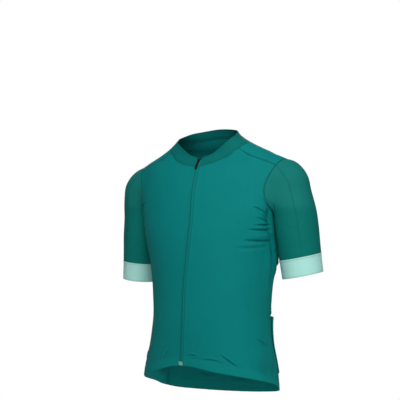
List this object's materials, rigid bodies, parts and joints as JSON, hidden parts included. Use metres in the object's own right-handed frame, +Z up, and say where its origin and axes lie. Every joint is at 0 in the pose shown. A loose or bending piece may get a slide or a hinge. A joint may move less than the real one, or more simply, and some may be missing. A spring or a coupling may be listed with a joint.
{
  "type": "cycling jersey",
  "caption": "Short-sleeved cycling jersey with a full-length front zip, a low collar, pale cuffs and rear pockets, hollow as worn.",
  "frame": {"origin": "between the two points where the cloth rests on the shoulders beside the neck, on the neck's axis", "axes": "+Z up, -Y the way the zip faces, +X the wearer's left"},
  "size_m": [0.546, 0.2539, 0.6646],
  "materials": {
    "body": "knitted polyester with a soft sheen",
    "sleeve": "knitted polyester, a touch darker and matt",
    "cuff": "smooth elastic band",
    "collar": "double knitted polyester",
    "zip": "woven tape with coil teeth",
    "metal": "black enamel",
    "box": "moulded"
  },
  "bodies": {
    "jersey": {"front_left": "body", "front_right": "body", "back": "body", "side_left": "body", "side_right": "body", "sleeve_front_left": "sleeve", "sleeve_outer_left": "sleeve", "sleeve_front_right": "sleeve", "sleeve_outer_right": "sleeve", "cuff_left": "cuff", "cuff_right": "cuff", "collar": "collar", "zip_tape_left": "zip", "zip_tape_right": "zip", "zip_slider": "metal", "zip_box": "box", "pocket_left": "body", "pocket_middle": "body", "pocket_right": "body"},
    "zip_pull": {"zip_pull": "metal"}
  },
  "joints": [
    {"name": "pull_swing", "type": "hinge", "parent": "jersey", "child": "zip_pull", "pos_m": [0.01512, -0.05773, -0.04785], "axis": [-0.9974, -0.0714, -0.0061], "range_deg": [0, 150]}
  ]
}
